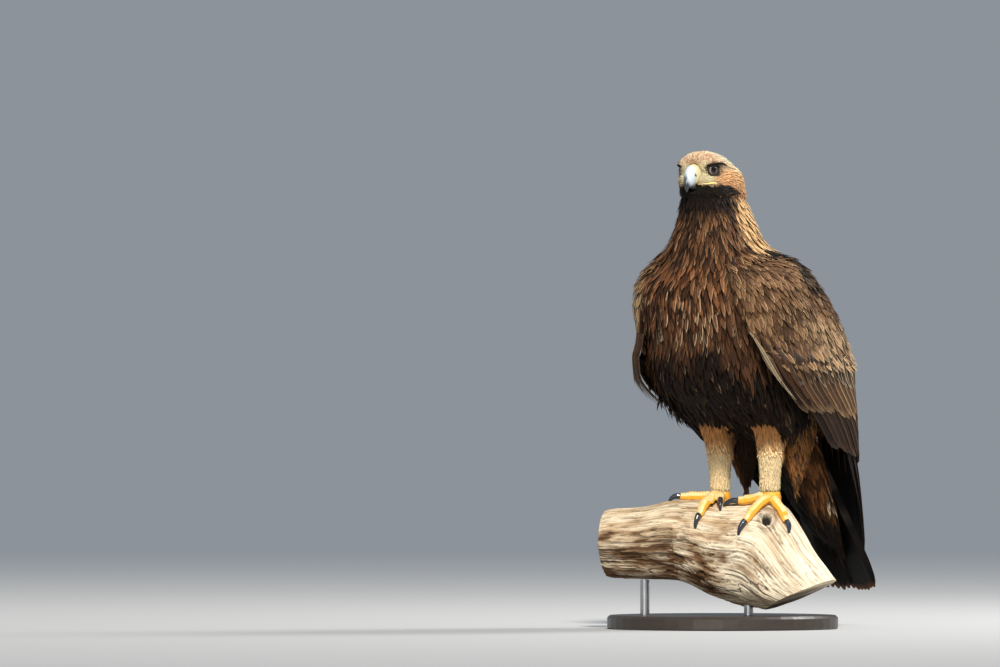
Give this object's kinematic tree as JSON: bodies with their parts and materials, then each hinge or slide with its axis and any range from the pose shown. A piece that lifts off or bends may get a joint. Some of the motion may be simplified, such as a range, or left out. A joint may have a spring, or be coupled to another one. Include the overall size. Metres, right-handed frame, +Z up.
{
  "type": "perched golden eagle model",
  "caption": "Life-size still model of a golden eagle standing on a cut length of dead branch, held by a plain round stand.",
  "frame": {"origin": "centre of the stand's flat underside", "axes": "+Z up along the standing height, -Y the way the breast faces, +X the bird's left"},
  "size_m": [0.3958, 0.4852, 0.7641],
  "materials": {
    "brown_feather": "satin feathers",
    "gold_feather": "satin feathers",
    "dark_feather": "satin feathers",
    "cream_feather": "soft short feathers",
    "yellow_skin": "scaly skin",
    "horn": "smooth horn",
    "eye": "wet, glossy",
    "dead_wood": "weathered",
    "stand_plate": "dark satin varnish",
    "stand_rod": "brushed"
  },
  "bodies": {
    "root": {"head": "gold_feather", "neck": "gold_feather", "torso": "brown_feather", "wing_left": "brown_feather", "wing_right": "brown_feather", "tail": "dark_feather", "thigh_left": "brown_feather", "thigh_right": "brown_feather", "shank_left": "cream_feather", "shank_right": "cream_feather", "foot_left": "yellow_skin", "foot_right": "yellow_skin", "cere": "yellow_skin", "upper_beak": "horn", "lower_beak": "horn", "eye_left": "eye", "eye_right": "eye", "claw_left_outer": "horn", "claw_left_middle": "horn", "claw_left_inner": "horn", "claw_left_hind": "horn", "claw_right_outer": "horn", "claw_right_middle": "horn", "claw_right_inner": "horn", "claw_right_hind": "horn", "perch": "dead_wood", "stand_base": "stand_plate", "stand_rod_1": "stand_rod", "stand_rod_2": "stand_rod"}
  },
  "joints": []
}
